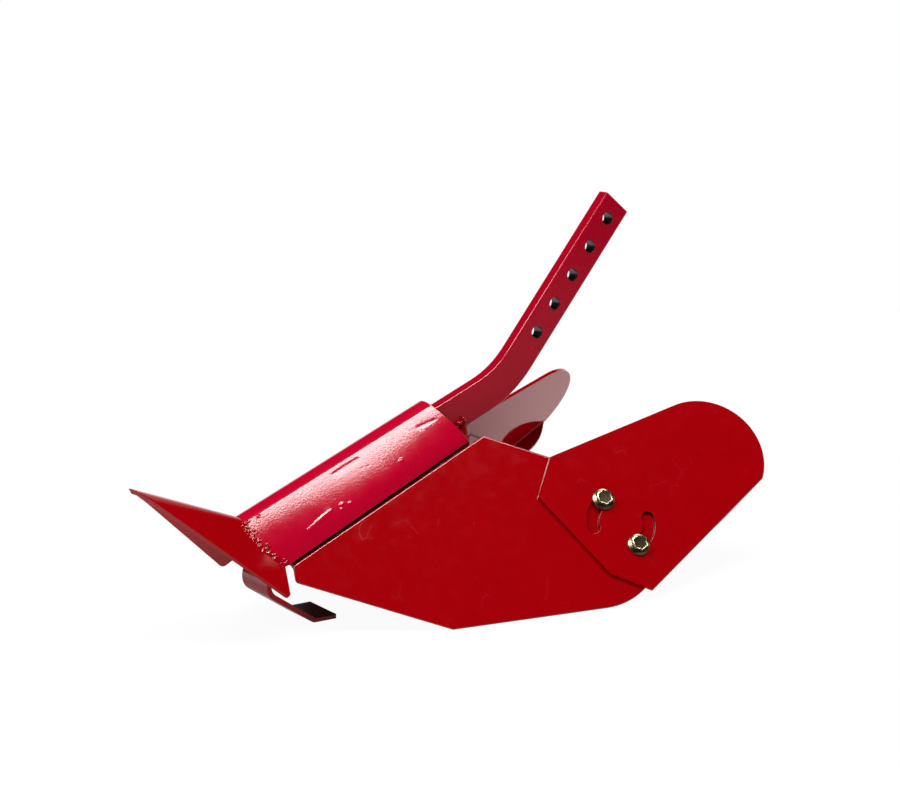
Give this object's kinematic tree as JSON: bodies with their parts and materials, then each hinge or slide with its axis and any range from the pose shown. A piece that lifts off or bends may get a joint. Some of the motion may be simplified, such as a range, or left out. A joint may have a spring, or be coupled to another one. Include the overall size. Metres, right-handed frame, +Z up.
{
  "type": "furrow plough",
  "caption": "Furrow plough for a tiller: drilled bent shank, folded breast and pointed share, rear skid, and flared wings with slotted swinging extensions.",
  "frame": {"origin": "on the floor, under the centre of the part's box as it stands on its wings and skid", "axes": "+X forward to the share's tip, +Y to the plough's left, +Z up"},
  "size_m": [0.5164, 0.3256, 0.3123],
  "materials": {
    "red_enamel": "glossy red enamel over steel",
    "zinc_steel": "yellowish zinc plating"
  },
  "bodies": {
    "frame": {"shank": "red_enamel", "share": "red_enamel", "breast_plate": "red_enamel", "rear_skid": "red_enamel", "left_wing": "red_enamel", "right_wing": "red_enamel", "left_gusset": "red_enamel", "right_gusset": "red_enamel", "left_share_weld": "red_enamel", "right_share_weld": "red_enamel", "left_seam_weld": "red_enamel", "right_seam_weld": "red_enamel", "left_gusset_weld": "red_enamel", "right_gusset_weld": "red_enamel", "left_skid_weld": "red_enamel", "right_skid_weld": "red_enamel", "left_shank_weld": "red_enamel", "right_shank_weld": "red_enamel", "left_front_bolt": "zinc_steel", "right_front_bolt": "zinc_steel", "left_front_washer": "zinc_steel", "right_front_washer": "zinc_steel", "left_front_nut": "zinc_steel", "right_front_nut": "zinc_steel", "left_rear_bolt": "zinc_steel", "right_rear_bolt": "zinc_steel", "left_rear_washer": "zinc_steel", "right_rear_washer": "zinc_steel", "left_rear_nut": "zinc_steel", "right_rear_nut": "zinc_steel"},
    "left_extension": {"left_extension": "red_enamel"},
    "right_extension": {"right_extension": "red_enamel"}
  },
  "joints": [
    {"name": "left_extension_swing", "type": "hinge", "parent": "frame", "child": "left_extension", "pos_m": [-0.11712, 0.12246, 0.05665], "axis": [0.2613, 0.7541, 0.6025], "range_deg": [-68, 0]},
    {"name": "right_extension_swing", "type": "hinge", "parent": "frame", "child": "right_extension", "pos_m": [-0.11712, -0.12246, 0.05665], "axis": [0.2613, -0.7541, 0.6025], "range_deg": [0, 68]}
  ]
}
